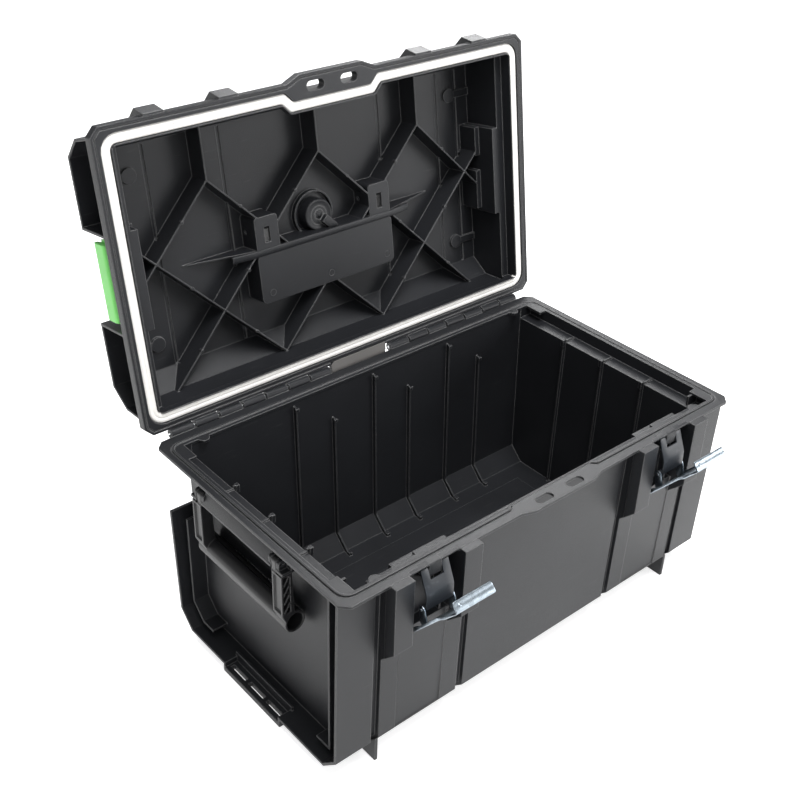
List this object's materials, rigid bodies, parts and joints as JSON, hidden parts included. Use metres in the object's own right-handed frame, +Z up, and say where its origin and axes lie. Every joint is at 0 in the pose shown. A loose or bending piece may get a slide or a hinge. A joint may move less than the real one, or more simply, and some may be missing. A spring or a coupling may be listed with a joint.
{
  "type": "stackable toolbox",
  "caption": "Hard plastic case with a hinged ribbed lid, foam seal, two draw latches, drop side handles, green side locks and a bail handle in the lid.",
  "frame": {"origin": "middle of the flat underside of the bin; the feet reach 10 mm below it", "axes": "+Z up, the front with the latches faces -Y, +X to the right seen from the front"},
  "size_m": [0.55, 0.4832, 0.5577],
  "materials": {
    "charcoal_plastic": "fine moulded texture, softly worn on edges",
    "black_plastic": "smooth satin moulding",
    "seal_foam": "closed-cell foam, matt",
    "green_plastic": "satin moulding",
    "zinc_plated_steel": "bluish zinc plate, pressed",
    "dark_painted_steel": "dark satin coat",
    "bright_steel": "bright drawn pin",
    "grey_plate": "plain grey plate"
  },
  "bodies": {
    "bin": {"bin_shell": "charcoal_plastic", "strap_pin_left": "bright_steel", "strap_pin_right": "bright_steel", "handle_pin_left_front": "bright_steel", "handle_pin_left_back": "bright_steel", "handle_pin_right_front": "bright_steel", "handle_pin_right_back": "bright_steel"},
    "lid": {"lid_shell": "charcoal_plastic", "lid_seal": "seal_foam", "hinge_cover_plate": "grey_plate", "hinge_pin_left": "bright_steel", "hinge_pin_right": "bright_steel", "vent_plug": "charcoal_plastic", "top_handle_pin_left": "bright_steel", "top_handle_pin_right": "bright_steel"},
    "strap_left": {"latch_strap_left": "dark_painted_steel", "lever_pin_left": "bright_steel"},
    "strap_right": {"latch_strap_right": "dark_painted_steel", "lever_pin_right": "bright_steel"},
    "lever_left": {"latch_lever_left": "zinc_plated_steel"},
    "lever_right": {"latch_lever_right": "zinc_plated_steel"},
    "handle_left": {"side_handle_left": "black_plastic"},
    "handle_right": {"side_handle_right": "black_plastic"},
    "lock_left": {"side_lock_left": "green_plastic"},
    "lock_right": {"side_lock_right": "green_plastic"},
    "top_handle": {"top_handle": "black_plastic"}
  },
  "joints": [
    {"name": "lid_hinge", "type": "hinge", "parent": "bin", "child": "lid", "pos_m": [0, 0.16112, 0.22539], "axis": [1, 0, 0], "range_deg": [0, 99]},
    {"name": "strap_left_hinge", "type": "hinge", "parent": "bin", "child": "strap_left", "pos_m": [-0.1667, -0.1535, 0.2178], "axis": [1, 0, 0], "range_deg": [-60, 0]},
    {"name": "lever_left_hinge", "type": "hinge", "parent": "strap_left", "child": "lever_left", "pos_m": [-0.1667, -0.1606, 0.181], "axis": [1, 0, 0], "range_deg": [-46, 0]},
    {"name": "handle_left_hinge", "type": "hinge", "parent": "bin", "child": "handle_left", "pos_m": [-0.264, 0.014, 0.2065], "axis": [0, 1, 0], "range_deg": [0, 95]},
    {"name": "lock_left_hinge", "type": "hinge", "parent": "lid", "child": "lock_left", "pos_m": [-0.259, 0.21952, 0.37927], "axis": [0, -0.1564, -0.9877], "range_deg": [-50, 0]},
    {"name": "strap_right_hinge", "type": "hinge", "parent": "bin", "child": "strap_right", "pos_m": [0.1667, -0.1535, 0.2178], "axis": [1, 0, 0], "range_deg": [-60, 0]},
    {"name": "lever_right_hinge", "type": "hinge", "parent": "strap_right", "child": "lever_right", "pos_m": [0.1667, -0.1606, 0.181], "axis": [1, 0, 0], "range_deg": [-46, 0]},
    {"name": "handle_right_hinge", "type": "hinge", "parent": "bin", "child": "handle_right", "pos_m": [0.264, 0.014, 0.2065], "axis": [0, 1, 0], "range_deg": [-95, 0]},
    {"name": "lock_right_hinge", "type": "hinge", "parent": "lid", "child": "lock_right", "pos_m": [0.259, 0.21952, 0.37927], "axis": [0, -0.1564, -0.9877], "range_deg": [0, 50]},
    {"name": "top_handle_hinge", "type": "hinge", "parent": "lid", "child": "top_handle", "pos_m": [0, 0.24403, 0.37741], "axis": [1, 0, 0], "range_deg": [-8.5, 85]}
  ]
}
